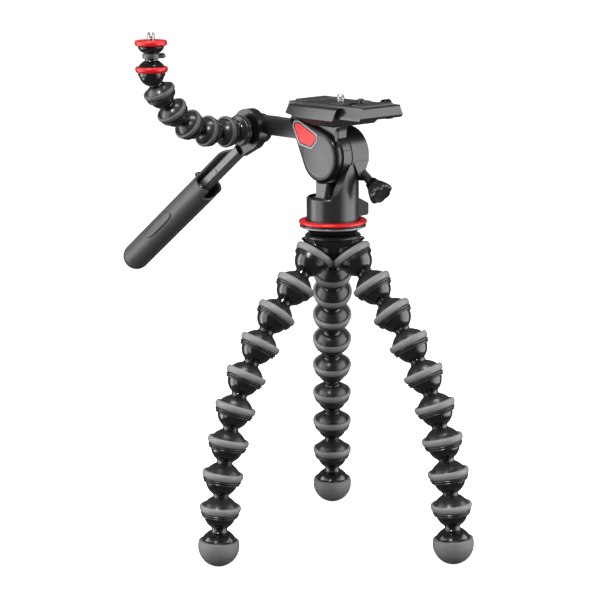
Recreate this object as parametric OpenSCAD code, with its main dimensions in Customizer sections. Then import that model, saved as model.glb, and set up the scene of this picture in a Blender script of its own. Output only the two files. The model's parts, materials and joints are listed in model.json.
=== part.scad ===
// Flexible three-legged camera support: ball-and-socket legs, fluid pan head,
// folding pan handle and a short ball-and-socket accessory arm.
// Right-handed frame in millimetres: +Z up, the lens looks along -Y, the tilt axis lies along X.
// The origin is on the floor under the pan axis.

/* [Leg links] */
// Outer radius of the rubber ring on a leg link
ring_r = 15; // [14:0.5:16]
// Height of the rubber ring
ring_h = 5.5; // [4.5:0.1:6]
// Radius of the ball of a leg link
ball_r = 11.8; // [11:0.1:12]
// Distance from one ball centre to the next
link_pitch = 25; // [24.5:0.5:28]
// Radius of the neck under each ball
neck_r = 5.8; // [5:0.1:6.5]
// Running clearance of a ball in its socket
ball_gap = 0.06; // [0.04:0.01:0.1]
// Links with a socket in each leg, between the hub and the foot
leg_links = 8; // [8:1:8]
// Radius of the rubber foot
foot_r = 15.2; // [14:0.1:17]

/* [Leg hub] */
// Distance of the hip balls from the pan axis
hip_r = 19; // [19:0.5:23]
// Tilt of the hip sockets from the vertical
hip_tilt = 38; // [34:1:44]
// Height of the hub's top face above the hip balls
hub_rise = 18.5; // [17:0.5:22]
// Radius of the hub's top face
hub_r = 20.5; // [19.5:0.5:23]

/* [Pan base] */
// Width of the coloured ring around the pan base
collar_w = 5; // [4:0.1:7]
// Radius of the pan base
base_r = 19.2; // [18:0.2:20]
// Height of the pan base up to its rim
base_h = 20.4; // [18:0.2:22]
// Height of the tilt axis above the rim
tilt_rise = 30; // [29:0.5:34]
// Radius of the upright's drum
drum_r = 20; // [19:0.5:21]
// Width of the drum along the tilt axis
drum_w = 17.3; // [15:0.1:18]

/* [Tilting cradle] */
// Radius of the cradle's barrel
barrel_r = 19.4; // [17:0.2:20]
// Width of the barrel along the tilt axis
barrel_w = 10.8; // [9:0.2:12]
// Radius of the round end of the side cover
cover_r = 19; // [17:0.5:20]
// Thickness of the side cover
cover_t = 3.6; // [3:0.1:5]
// Distance of the cover's narrow top behind the tilt axis
cover_top_y = 24.7; // [22:0.1:26]
// Radius of the cover's narrow top
top_r = 3.8; // [3:0.1:5]
// Height of the seat's underside above the tilt axis
seat_rise = 22.6; // [22.2:0.2:26]
// Length of the seat along the lens axis
seat_l = 55; // [50:1:60]

/* [Camera plate] */
// Length of the sliding plate
plate_l = 78; // [70:1:90]
// Width of the plate's top face
plate_w = 37; // [34:0.5:40]
// Thickness of the plate
plate_t = 9; // [8:0.2:10]
// Flare of each dovetail side
dovetail = 2.4; // [1.5:0.1:3]
// Radius of the camera screw and of the arm's screw
screw_r = 3.17; // [2.4:0.01:3.2]
// Length of the screw that stands out
screw_l = 5.5; // [4.5:0.5:8]

/* [Handle] */
// Distance of the handle hub behind the tilt axis
hub_back = 81; // [74:1:90]
// Height of the handle hub above the tilt axis
hub_up = 12.4; // [11:0.2:14]
// Angle of the handle under the horizontal
handle_drop = 36.5; // [30:0.5:45]
// Offset of the handle bar under the hub's axis
bar_offset = 7.7; // [6:0.1:9]
// Height of the bar's section
bar_h = 8; // [7:0.2:9]
// Width of the bar's section along the hub axis
bar_w = 9.6; // [8:0.2:11]
// Distance from the hub axis to the fold pin
fold_at = 70; // [64:1:80]
// Radius of the grip
grip_r = 10; // [9:0.2:11.5]
// Length of the grip behind the fold pin
grip_l = 126; // [110:1:140]

/* [Arm] */
// Size of an arm link as a share of a leg link
arm_scale = 0.777; // [0.74:0.001:0.8]
// Distance from one ball centre to the next in the arm
arm_pitch = 18.5; // [18.4:0.1:21]
// Radius of the ribbed washer on the handle hub
washer_r = 12.2; // [11.8:0.1:14]

/* [Hidden] */
$fn = 64;
gap = 0.3;         // clear space between two bodies
fit = 0.05;        // radial running clearance of a pin, and the seat of a ring
eps = 0.01;
ball_top = 2.2;    // height at which a ball is cut flat inside its socket
roof = 9.7;        // height of the socket's flat roof over the ball centre
ring_up = 5;       // height of the ring's middle over the ball centre in the socket
lip_down = 0.7;    // the socket's lip reaches this far past the ball's middle
lip_r = 13.7;
groove_r = 12.9;
dome_top = 11.6;   // where the bell of a link meets its neck, over the ball centre
dome_r = 13.2;
dome_curve = 19.5; // radius of the bell's round shoulder
AZIMUTHS = [48, 168, 288];
LEANS = [38, 41, 32, 28, 20.5, 13.5, 11, 5, 3.5];
foot_drop = 24.4;  // distance from the last ball to the centre of the foot
foot_cut = 4.6;    // height of the rubber's edge over the centre of the foot

function sum_sin(k) = k == 0 ? 0 : sum_sin(k - 1) + sin(LEANS[k - 1]);
function sum_cos(k) = k == 0 ? 0 : sum_cos(k - 1) + cos(LEANS[k - 1]);
last_lean = LEANS[leg_links];
hip_z = link_pitch * sum_cos(leg_links) + foot_drop * cos(last_lean) + foot_r;
hub_top = hip_z + hub_rise;

// Pan base, from the hub's top face up
plate_neck = 3.4;
flange_t = 3.4;
flange_top = hub_top + plate_neck + flange_t;
collar_t = 3.6;
collar_in = base_r + 0.8;
collar_r = collar_in + collar_w;
flange_r = collar_r - 0.6;
base_z = flange_top + gap;
rim_z = base_z + base_h;
tilt_z = rim_z + tilt_rise;
spindle_r = 8;
spindle_h = 13;
drum_x = 1.3;
drum_end = drum_x + drum_w;
trunnion_r = 9;
trunnion_l = 11;
barrel_end = drum_x - gap;
barrel_x = barrel_end - barrel_w;
saddle_gap = 0.6;
knob_angle = 35;   // tilt lock screw under the horizontal
lock_x = drum_end - 5.6;
lock_root = drum_r / cos(knob_angle);   // where the screw leaves the boss, from the tilt axis
knob_r = 9.4;
knob_stem_r = 3.2;
stem_hole = 8;

// Seat and camera plate
seat_z = tilt_z + seat_rise;
seat_floor = 6.2;
plate_z = seat_z + seat_floor + gap;
plate_top = plate_z + plate_t;
plate_x = 5;       // the plate's middle, to the right of the pan axis
jaw_t = 5.2;
seat_left = plate_x - plate_w / 2 - dovetail - gap - jaw_t + 1.8;
seat_right = plate_x + plate_w / 2 + dovetail + gap + jaw_t - 1.8;
seat_front = -26;
plate_front = -46;
screw_y = -3.4;
pin_y = -24.7;
lever_x = seat_right + 2;
lever_y = 14;
lever_l = 38;

// Handle and arm
hub_z = tilt_z + hub_up;
lug_r = 11;
lug_x = 4;
lug_w = 9;
bracket_y = 15;     // the bracket's flat seat on the cradle, behind the tilt axis
bracket_low = 9.2;  // underside of the bracket over the tilt axis
root_r = 15.6;
root_w = 7.4;
root_x = lug_x - lug_w - gap;
bolt_r = 4;
bar_x = -10.8;
pin_r = 2;
washer_x = root_x - root_w - gap;
washer_w = 3.2;
arm_flange_w = 4.2;
arm_x = washer_x - washer_w - arm_flange_w;
arm_z = hub_z;
ARM_LEANS = [4, 18, 34, 50, 64];
arm_ball_x = arm_x - arm_scale * ball_r + 0.5;
function arm_cos(k) = k == 0 ? 0 : arm_cos(k - 1) + cos(ARM_LEANS[k - 1]);
function arm_sin(k) = k == 0 ? 0 : arm_sin(k - 1) + sin(ARM_LEANS[k - 1]);
tip_x = arm_ball_x - arm_pitch * arm_cos(5);
tip_z = arm_z + arm_pitch * arm_sin(5);
waist_up = 12.6;   // middle of the lock ring over the tip's ball centre
waist_r = 4.6;
lock_r = 6.3;

black = [0.05, 0.05, 0.055];
rubber = [0.2, 0.2, 0.21];
satin = [0.14, 0.14, 0.15];
grey = [0.55, 0.55, 0.56];
red = [0.78, 0.09, 0.1];
steel = [0.8, 0.8, 0.82];

// ---- helpers ----

// Keeps the half of a profile that may be turned about the axis
module right_half() {
    intersection() {
        children();
        translate([0, -60]) square([60, 120]);
    }
}

// Two round ends joined by their outer tangents, as a flat outline
module teardrop(r1, r2, at) {
    d = norm(at);
    lean = acos((r1 - r2) / d);
    heading = atan2(at[1], at[0]);
    a1 = heading + lean;
    a2 = heading - lean;
    circle(r = r1);
    translate(at) circle(r = r2);
    polygon([
        r1 * [cos(a1), sin(a1)], r1 * [cos(a2), sin(a2)],
        at + r2 * [cos(a2), sin(a2)], at + r2 * [cos(a1), sin(a1)]
    ]);
}

// A cylinder along +X
module rod_x(r, from, to) {
    translate([from, 0, 0]) rotate([0, 90, 0]) cylinder(r = r, h = to - from);
}

// A profile in (y, z) drawn out along X
module along_x(from, to) {
    translate([from, 0, 0]) rotate([90, 0, 90]) linear_extrude(to - from) children();
}

// A profile in (x, z) drawn out along Y
module along_y(from, to) {
    translate([0, to, 0]) rotate([90, 0, 0]) linear_extrude(to - from) children();
}

// ---- ball and socket links ----

// Ball with its neck, the ball's centre at the origin and the neck downwards
module ball_profile(r, top, waist, reach) {
    right_half() {
        intersection() {
            circle(r = r);
            translate([0, -r]) square([r, r + top]);
        }
        translate([0, -reach]) square([waist, reach]);
    }
}

// Bell, ring seat and lip of a socket, the socket's ball centre at the origin
module socket_profile() {
    bell_h = dome_top - ring_up - ring_h / 2;
    difference() {
        union() {
            translate([0, ring_up + ring_h / 2]) intersection() {
                translate([0, bell_h - dome_curve + 1.3]) circle(r = dome_curve, $fn = 96);
                square([dome_r, bell_h]);
            }
            translate([0, -lip_down]) square([groove_r, dome_top - bell_h + lip_down]);
            translate([0, 0.2]) square([lip_r, ring_up - ring_h / 2 - 0.2]);
            translate([0, -lip_down]) square([lip_r - 0.8, 1]);
        }
        intersection() {
            circle(r = ball_r + ball_gap);
            translate([0, -ball_r - 1]) square([ball_r + 2, ball_r + 1 + roof]);
        }
    }
}

// Rubber ring in its groove
module grip_ring() {
    round_r = (ring_r - groove_r - fit) / 2;
    in_r = groove_r + fit;
    half = ring_h / 2 - fit;
    translate([0, 0, ring_up]) rotate_extrude() union() {
        translate([in_r, -half]) square([ring_r - round_r - in_r, 2 * half]);
        translate([in_r, -half + round_r]) square([ring_r - in_r, 2 * half - 2 * round_r]);
        for (s = [-1, 1]) translate([ring_r - round_r, s * (half - round_r)]) circle(r = round_r);
    }
}

// One link: its ball at the origin, the next ball centre at -pitch along Z
module link(pitch) {
    rotate_extrude() ball_profile(ball_r, ball_top, neck_r, pitch - dome_top + eps);
    translate([0, 0, -pitch]) rotate_extrude() socket_profile();
}

// ---- legs ----

module at_joint(leg, k) {
    rotate([0, 0, AZIMUTHS[leg]])
        translate([hip_r + link_pitch * sum_sin(k), 0, hip_z - link_pitch * sum_cos(k)])
            rotate([0, -LEANS[k], 0]) children();
}

module leg_link(leg, k) {
    at_joint(leg, k) {
        color(black) link(link_pitch);
        color(rubber) translate([0, 0, -link_pitch]) grip_ring();
    }
}

foot_neck = 14.2;  // distance from the last ball to the foot's bell
foot_bell = foot_drop - foot_cut;

module foot_link(leg) {
    bell_r = 13.2;
    foot_pad(leg);
    at_joint(leg, leg_links) color(black) rotate_extrude() {
        ball_profile(ball_r, ball_top, neck_r, foot_neck + eps);
        translate([0, -foot_bell]) right_half() intersection() {
            translate([0, foot_bell - foot_neck - dome_curve + 1.3]) circle(r = dome_curve, $fn = 96);
            square([bell_r, foot_bell - foot_neck]);
        }
        translate([0, -foot_drop]) square([7, foot_drop - foot_bell + eps]);
    }
}

module foot_pad(leg) {
    at_joint(leg, leg_links) color(rubber) translate([0, 0, -foot_drop]) rotate_extrude()
        difference() {
            right_half() intersection() {
                circle(r = foot_r);
                translate([0, -foot_r]) square([foot_r, foot_r + foot_cut - fit]);
            }
            translate([-1, -fit]) square([8 + fit, foot_cut + 1]);
        }
}

// ---- hub of the legs ----

module at_hip(i) {
    rotate([0, 0, AZIMUTHS[i]]) translate([hip_r, 0, hip_z]) rotate([0, -hip_tilt, 0]) children();
}

module leg_hub() {
    lobe_r = 11.4;
    shoulder = 13;     // height over the hip balls where the neck starts to widen
    facet_w = 27;
    color(black) difference() {
        union() {
            for (i = [0:2]) at_hip(i) rotate_extrude() socket_profile();
            // lobes between the sockets and the neck, flat at the top
            intersection() {
                for (i = [0:2]) at_hip(i) translate([0, 0, dome_top - 2]) cylinder(r = lobe_r, h = 24);
                translate([0, 0, hip_z]) cylinder(r = 40, h = hub_rise - 1.2);
            }
            rotate_extrude() polygon([
                [0, hip_z + 4], [8, hip_z + 4], [15.4, hip_z + shoulder], [hub_r, hub_top - 2],
                [hub_r, hub_top - 1], [hub_r - 1, hub_top], [0, hub_top]
            ]);
            // three facets that point down between the sockets
            for (a = AZIMUTHS) rotate([0, 0, a + 60]) hull() {
                translate([hub_r - 10, -facet_w / 2, hub_top - 4]) cube([8.4, facet_w, 1]);
                translate([hub_r - 10, -facet_w / 2 - 1, hub_top - 3]) cube([7, facet_w + 2, 1]);
                translate([4, -1, hip_z + 1.5]) cube([6.5, 2, 1]);
            }
        }
        for (i = [0:2]) at_hip(i) rotate_extrude() intersection() {
            circle(r = ball_r + ball_gap);
            translate([0, -ball_r - 1]) square([ball_r + 2, ball_r + 1 + roof]);
        }
    }
}

module leg_hub_rings() {
    for (i = [0:2]) at_hip(i) color(rubber) grip_ring();
}

// ---- flange and pan base ----

module head_flange() {
    color(grey) difference() {
        rotate_extrude() polygon([
            [0, hub_top], [hub_r - 1, hub_top], [hub_r, hub_top + plate_neck],
            [flange_r - 1.2, hub_top + plate_neck + 0.6], [flange_r, hub_top + plate_neck + 1.8],
            [flange_r, flange_top], [spindle_r, flange_top],
            [spindle_r, flange_top + spindle_h], [0, flange_top + spindle_h]
        ]);
        translate([0, 0, hub_top - 1]) cylinder(r = 3, h = 12);
    }
}

module collar_ring() {
    round_r = 1.2;
    color(red) translate([0, 0, flange_top + fit]) rotate_extrude() union() {
        translate([collar_in, 0]) square([collar_w - round_r, collar_t]);
        translate([collar_in, round_r]) square([collar_w, collar_t - 2 * round_r]);
        for (z = [round_r, collar_t - round_r])
            translate([collar_r - round_r, z]) circle(r = round_r);
    }
}

module pan_base() {
    lobe_x = 30;
    lobe_w = 13;
    lobe_z = flange_top + collar_t + fit + gap;
    back_y = 13.4;
    pocket_y = 11.4;
    recess = 2.4;
    boss_z = tilt_z - 13.4;
    saddle_y = 7.6;
    saddle_h = tilt_rise - barrel_r + 6;
    color(satin) difference() {
        union() {
            // round base with its bevelled rim
            translate([0, 0, base_z]) cylinder(r = base_r, h = base_h - 1);
            translate([0, 0, rim_z - 1]) cylinder(r1 = base_r, r2 = base_r - 1, h = 1);
            // lobe of the pan brake
            intersection() {
                translate([0, -lobe_w / 2, lobe_z]) cube([lobe_x, lobe_w, base_h]);
                along_y(-lobe_w, lobe_w) polygon([
                    [0, lobe_z], [lobe_x - 1.5, lobe_z], [lobe_x, lobe_z + 1.5],
                    [lobe_x, base_z + 12.5], [base_r, base_z + 18], [0, base_z + 18]
                ]);
            }
            // upright, which grows out of the base and leans over to the drum
            difference() {
                intersection() {
                    translate([0, 0, rim_z - 4]) cylinder(r = base_r, h = tilt_rise + 4);
                    along_y(-drum_r, drum_r) polygon([
                        [-14, rim_z - 4], [drum_end, rim_z - 4], [drum_end, tilt_z], [drum_x, tilt_z],
                        [drum_x - 1.4, tilt_z - 5], [-3.6, rim_z + 19], [-8.4, rim_z + 8],
                        [-11, rim_z + 3], [-14, rim_z]
                    ]);
                    along_x(-drum_r, drum_r) polygon([
                        [-drum_r, rim_z - 4], [back_y, rim_z - 4], [back_y, rim_z + 5],
                        [back_y + 3.5, tilt_z - 10], [drum_r, tilt_z], [-drum_r, tilt_z]
                    ]);
                }
                // open room around the saddle block
                translate([-40, -pocket_y, rim_z - recess]) cube([39.4, 40 + pocket_y, tilt_rise]);
            }
            // boss of the tilt lock screw, flat in front
            along_y(-drum_r, -6) polygon([
                [drum_x + 1, tilt_z - 3.6], [drum_end, tilt_z - 3.6], [drum_end, boss_z],
                [lock_x + 2, boss_z - 4.6], [lock_x - 2.5, boss_z - 4.6], [lock_x - 6, boss_z]
            ]);
            translate([0, 0, tilt_z]) {
                rod_x(drum_r, drum_x, drum_end - 1.2);
                translate([drum_end - 1.2, 0, 0]) rotate([0, 90, 0])
                    cylinder(r1 = drum_r, r2 = drum_r - 1.2, h = 1.2);
            }
            // tapered block that the barrel rests over
            translate([0, 0, rim_z - 3]) intersection() {
                along_y(-saddle_y, saddle_y) polygon([
                    [-14, 0], [0, 0], [0, saddle_h], [-11, saddle_h], [-12.5, 4]
                ]);
                along_x(-20, 5) polygon([
                    [-saddle_y, 0], [saddle_y, 0], [saddle_y, 4], [saddle_y - 1.5, saddle_h],
                    [1.5 - saddle_y, saddle_h], [-saddle_y, 4]
                ]);
                rotate([0, 0, 45]) cube([24, 24, 60], center = true);
            }
        }
        // recess in the rim
        difference() {
            translate([0, 0, rim_z - recess]) cylinder(r = base_r - 1.8, h = 3);
            translate([-0.6, -30, rim_z - 5]) cube([60, 60, 10]);
            translate([-13.4, -30, rim_z - 5]) cube([60, 30 - pocket_y, 10]);
            translate([-13, -saddle_y, rim_z - 5]) cube([13, 2 * saddle_y, 10]);
        }
        // room for the barrel and the cover
        translate([0, 0, tilt_z]) rod_x(max(barrel_r, cover_r) + saddle_gap, -40, drum_x);
        // bearings
        translate([0, 0, base_z - 1]) cylinder(r = spindle_r + fit, h = spindle_h + 1 + gap);
        translate([0, 0, tilt_z]) rod_x(trunnion_r + fit, 0, drum_x + trunnion_l);
        // hole of the tilt lock screw
        at_lock() translate([0, 0, lock_root - stem_hole]) cylinder(r = knob_stem_r + fit, h = 30);
    }
}

// Frame of the tilt lock screw, +Z outwards along it
module at_lock() {
    translate([lock_x, 0, tilt_z]) rotate([90 + knob_angle, 0, 0]) children();
}

module tilt_lock_knob() {
    lobes = 7;
    stem_l = 9.5;
    head_l = 13.5;
    neck_l = 5;
    start = lock_root - stem_hole + gap;
    color(black) at_lock() translate([0, 0, start]) {
        cylinder(r = knob_stem_r, h = stem_hole + stem_l);
        translate([0, 0, stem_hole + stem_l - 1]) cylinder(r1 = 4.6, r2 = 5.6, h = neck_l + 1);
        translate([0, 0, stem_hole + stem_l + neck_l]) difference() {
            union() {
                cylinder(r1 = 6, r2 = knob_r, h = 3.5);
                translate([0, 0, 3.5]) cylinder(r = knob_r, h = head_l - 5.5);
                translate([0, 0, head_l - 2]) cylinder(r1 = knob_r, r2 = knob_r - 2, h = 2);
            }
            for (i = [0:lobes - 1]) rotate([0, 0, (i + 0.5) * 360 / lobes])
                translate([knob_r + 2, 0, -1]) cylinder(r = 3.3, h = head_l + 2);
        }
    }
}

// ---- tilting cradle ----

module cradle() {
    wall = 7.8;
    color(satin) translate([0, 0, tilt_z]) difference() {
        union() {
            // barrel, with the narrower stage under the cover
            rod_x(barrel_r, barrel_end - wall, barrel_end);
            rod_x(barrel_r - 1.4, barrel_x, barrel_end - wall + eps);
            rod_x(trunnion_r, barrel_end - eps, drum_x + trunnion_l - gap);
            // waisted wall that carries the seat
            along_x(barrel_end - wall, barrel_end) difference() {
                translate([-19, 0]) square([38, seat_rise]);
                translate([-26, seat_rise - 7]) circle(r = 12.5);
                translate([26, seat_rise - 7]) circle(r = 12.5);
            }
            // shoulder behind the cover
            along_x(barrel_x, barrel_end - wall + eps) difference() {
                translate([-15, 6]) square([30, seat_rise - 6]);
                translate([-23, seat_rise - 7]) circle(r = 10);
                translate([23, seat_rise - 7]) circle(r = 10);
            }
            // boss of the side cover
            rod_x(11, barrel_x - 0.4, barrel_x + eps);
        }
        // flat seat of the handle bracket
        translate([lug_x - lug_w - fit, bracket_y - fit, bracket_low - fit])
            cube([lug_w + 8, 40, seat_rise - bracket_low + 1]);
    }
}

// Round cover with a narrow top that reaches into the seat, in (y, z) from the tilt axis
module cover_outline(inset) {
    teardrop(cover_r - inset, top_r - inset, [cover_top_y, seat_rise + seat_floor - 0.3 - top_r]);
}

cover_x = barrel_x - 0.4 - fit;   // inner face of the cover

module side_cover() {
    face = cover_x - cover_t;
    color(satin) translate([0, 0, tilt_z]) difference() {
        union() {
            along_x(face + 1.4, cover_x) cover_outline(0);
            along_x(face, face + 1.4 + eps) cover_outline(1.7);
        }
        along_x(face - 1, face + 0.9) badge_outline(0);
        // shallow round field in the face
        rod_x(13.5, face - 1, face + 0.5);
    }
}

// Kite with round corners, in (y, z) from the tilt axis
module badge_outline(grow) {
    KITE = [[23.6, 20.6, 2], [20.4, 20.8, 1.6], [4.4, 13, 2.2], [8.2, 8.8, 2.2], [18.9, 10.2, 2]];
    hull() for (p = KITE) translate([p[0], p[1]]) circle(r = p[2] + grow, $fn = 32);
}

module cover_badge() {
    face = cover_x - cover_t;
    color(red) translate([0, 0, tilt_z]) along_x(face - 0.5, face + 0.9 - fit) badge_outline(-fit);
}

// ---- seat, lever and plate ----

// Dovetail section of the plate in (x, z), grown by a clearance
module dovetail_section(grow) {
    half = plate_w / 2 + grow;
    translate([plate_x, 0]) polygon([
        [-half - dovetail, plate_z - grow], [half + dovetail, plate_z - grow],
        [half + dovetail, plate_z + 2.4], [half, plate_top - 2], [half, plate_top + grow + 4],
        [-half, plate_top + grow + 4], [-half, plate_top - 2], [-half - dovetail, plate_z + 2.4]
    ]);
}

module plate_seat() {
    seat_back = seat_front + seat_l;
    color(satin) difference() {
        intersection() {
            along_y(seat_front - 2, seat_back + 6) polygon([
                [seat_left + 5, seat_z], [seat_right - 5, seat_z], [seat_right, seat_z + 5],
                [seat_right, plate_top - 2.4], [seat_right - 1.2, plate_top - 1.2],
                [seat_left + 1.2, plate_top - 1.2], [seat_left, plate_top - 2.4],
                [seat_left, seat_z + 5]
            ]);
            along_x(seat_left - 1, seat_right + 1) polygon([
                [seat_front + 8, seat_z], [seat_front, plate_top],
                [seat_back - 5, plate_top], [seat_back, plate_z + 1],
                [seat_back - 4, plate_z], [seat_back - 4, seat_z]
            ]);
        }
        along_y(seat_front - 9, seat_back + 9) dovetail_section(gap);
        // pivot hole and slot of the lever in the right jaw
        translate([lever_x, lever_y, seat_z - 1]) cylinder(r = 4.6, h = 30);
        translate([seat_right - 0.9, seat_front - 9, seat_z - 1]) cube([9, lever_y - seat_front + 9, 30]);
        // room for the top of the side cover, open on its outer side
        translate([0, 0, tilt_z]) along_x(seat_left - 1, cover_x + gap) cover_outline(-0.6);
        // hollow under the seat
        translate([plate_x + 8, seat_front + 12, seat_z - 1])
            cube([seat_right - plate_x - 15.2, seat_l - 24, 3.4]);
    }
    // pivot post of the lever
    color(satin) translate([lever_x, lever_y, seat_z + 1.2]) cylinder(r = 1.8, h = 11);
    color(satin) translate([lever_x - 8, lever_y - 1.8, seat_z + 1.2]) cube([8, 3.6, 1.4]);
}

module plate_lever() {
    from = seat_z + 2.6 + gap;
    arm_h = 6.4;
    tab_w = 6;
    tab_l = 9;
    color(black) difference() {
        union() {
            translate([lever_x, lever_y, from]) cylinder(r = 4, h = arm_h);
            translate([seat_right - 0.5, lever_y - lever_l, from]) cube([4.4, lever_l, arm_h]);
            translate([seat_right - 0.5, lever_y - lever_l - tab_l / 3, from])
                cube([tab_w, tab_l, arm_h + 4]);
            translate([seat_right - 0.5 + tab_w / 2, lever_y - lever_l + tab_l / 6, from + arm_h + 4])
                rotate([0, 90, 0]) translate([0, 0, -tab_w / 2]) cylinder(r = 3.6, h = tab_w);
        }
        translate([lever_x, lever_y, from - 1]) cylinder(r = 1.8 + fit, h = 30);
    }
}

module camera_plate() {
    back = plate_front + plate_l;
    color(satin) difference() {
        intersection() {
            along_y(plate_front, back) dovetail_section(0);
            translate([-60, plate_front, plate_z]) cube([120, plate_l, plate_t]);
            // bevelled ends
            along_x(-60, 60) polygon([
                [plate_front + 1.5, plate_z], [plate_front, plate_z + 2], [plate_front, plate_top - 0.8],
                [plate_front + 0.8, plate_top], [back - 0.8, plate_top], [back, plate_top - 0.8],
                [back, plate_z + 2], [back - 1.5, plate_z]
            ]);
        }
        // screw slot, open to a recess for the screw's head
        translate([plate_x, screw_y, plate_z - 1]) cylinder(r = 8.4, h = 4.4);
        translate([plate_x, screw_y, plate_z]) cylinder(r = screw_r + 0.6, h = plate_t + 1);
        translate([plate_x, pin_y, plate_z - 1]) cylinder(r = 3.4, h = 5);
        translate([plate_x, pin_y, plate_z]) cylinder(r = 2.2 + fit, h = plate_t + 1);
        // pockets of the rubber pads
        for (y = PAD_Y) translate([plate_x - pad_w / 2, y, plate_top - 1]) cube([pad_w, pad_l, 2]);
    }
}

pad_w = 29;
pad_l = 13;
PAD_Y = [plate_front + 3, screw_y - 17.2, plate_front + plate_l - pad_l - 3];

module plate_pads() {
    color(rubber) for (y = PAD_Y)
        translate([plate_x - pad_w / 2 + fit, y + fit, plate_top - 1 + fit]) difference() {
            cube([pad_w - 2 * fit, pad_l - 2 * fit, 2.2]);
            for (i = [0:3]) translate([-1, 2.4 + i * 2.6, 1.7]) cube([pad_w + 2, 0.9, 2]);
        }
}

module camera_screw() {
    thread_z = plate_top + 0.4;
    color(steel) translate([plate_x, screw_y, 0]) {
        translate([0, 0, plate_z + 0.6]) difference() {
            cylinder(r = 7.6, h = 2.5);
            translate([-10, -0.8, -1]) cube([20, 1.6, 2]);
        }
        translate([0, 0, plate_z + 3]) cylinder(r = screw_r - 0.5, h = thread_z - plate_z - 3 + eps);
        translate([0, 0, thread_z]) cylinder(r = screw_r, h = screw_l - 1);
        translate([0, 0, thread_z + screw_l - 1]) cylinder(r1 = screw_r, r2 = screw_r - 0.6, h = 0.6);
    }
}

module video_pin() {
    color(steel) translate([plate_x, pin_y, 0]) {
        translate([0, 0, plate_z + 2.8]) cylinder(r = 3, h = 1);
        translate([0, 0, plate_z + 3]) cylinder(r = 2.2, h = plate_top + 3.4 - plate_z - 3);
        translate([0, 0, plate_top + 3.4]) cylinder(r1 = 2.2, r2 = 1.4, h = 0.8);
    }
}

// ---- handle ----

module handle_bracket() {
    bracket_top = 22.5;
    color(satin) difference() {
        union() {
            along_x(lug_x - lug_w, lug_x) translate([0, tilt_z]) polygon([
                [bracket_y, bracket_top], [hub_back - 6, bracket_top], [hub_back, hub_up + lug_r - 0.5],
                [hub_back, bracket_low], [bracket_y + 12, bracket_low], [bracket_y, bracket_low + 5.5]
            ]);
            translate([0, hub_back, hub_z]) rod_x(lug_r, lug_x - lug_w, lug_x);
        }
        translate([0, hub_back, hub_z]) rod_x(bolt_r + fit, lug_x - lug_w - 1, lug_x - 3);
        // the seat and the drum stand clear of the bar
        translate([-10, 0, seat_z - gap]) cube([30, 60, 20]);
        translate([barrel_end, 0, tilt_z - 10]) cube([20, base_r + 5.4, 40]);
        // channel along the outer face
        along_x(lug_x - 2.4, lug_x + 1) translate([0, tilt_z]) polygon([
            [30, 19.5], [hub_back - 16, 19.5], [hub_back - 16, 12.2], [30, 12.2]
        ]);
    }
}

module on_handle() {
    translate([0, hub_back, hub_z]) rotate([-handle_drop, 0, 0]) children();
}

module handle_bar() {
    axis_z = -bar_offset;
    seam_at = 16;
    color(satin) on_handle() difference() {
        union() {
            rod_x(root_r, root_x - root_w, root_x);
            // neck between the root and the bar
            along_x(root_x - root_w, root_x) polygon([
                [0, -root_r], [seam_at + 3, axis_z - bar_h / 2 - 0.6],
                [seam_at + 3, axis_z + bar_h / 2 + 0.6], [6, axis_z + bar_h / 2 + 4], [0, 0]
            ]);
            // bar with bevelled edges
            translate([bar_x, seam_at, axis_z]) rotate([-90, 0, 0])
                linear_extrude(fold_at - seam_at) bar_section();
            translate([bar_x, fold_at, axis_z]) intersection() {
                rod_x(bar_h / 2, -bar_w / 2 + 1.2, bar_w / 2 - 1.2);
                translate([-20, -20, -20]) cube(40);
            }
            // two stops that close on the grip's tongue
            translate([bar_x, 48, axis_z]) rod_x(1.6, -bar_w / 2 - 0.5, bar_w / 2 + 0.5);
        }
        rod_x(bolt_r + fit, root_x - root_w - 1, root_x + 1);
        translate([0, fold_at, axis_z]) rod_x(pin_r + fit, bar_x - 20, bar_x + 20);
    }
}

module bar_section() {
    w = bar_w / 2;
    h = bar_h / 2;
    c = 1.6;
    polygon([[-w, -h + c], [-w + c, -h], [w - c, -h], [w, -h + c],
             [w, h - c], [w - c, h], [-w + c, h], [-w, h - c]]);
}

module fold_pin() {
    ear = grip_r - 0.9;
    color(steel) on_handle() translate([bar_x, fold_at, -bar_offset]) rod_x(pin_r, -ear, ear);
}

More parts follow.
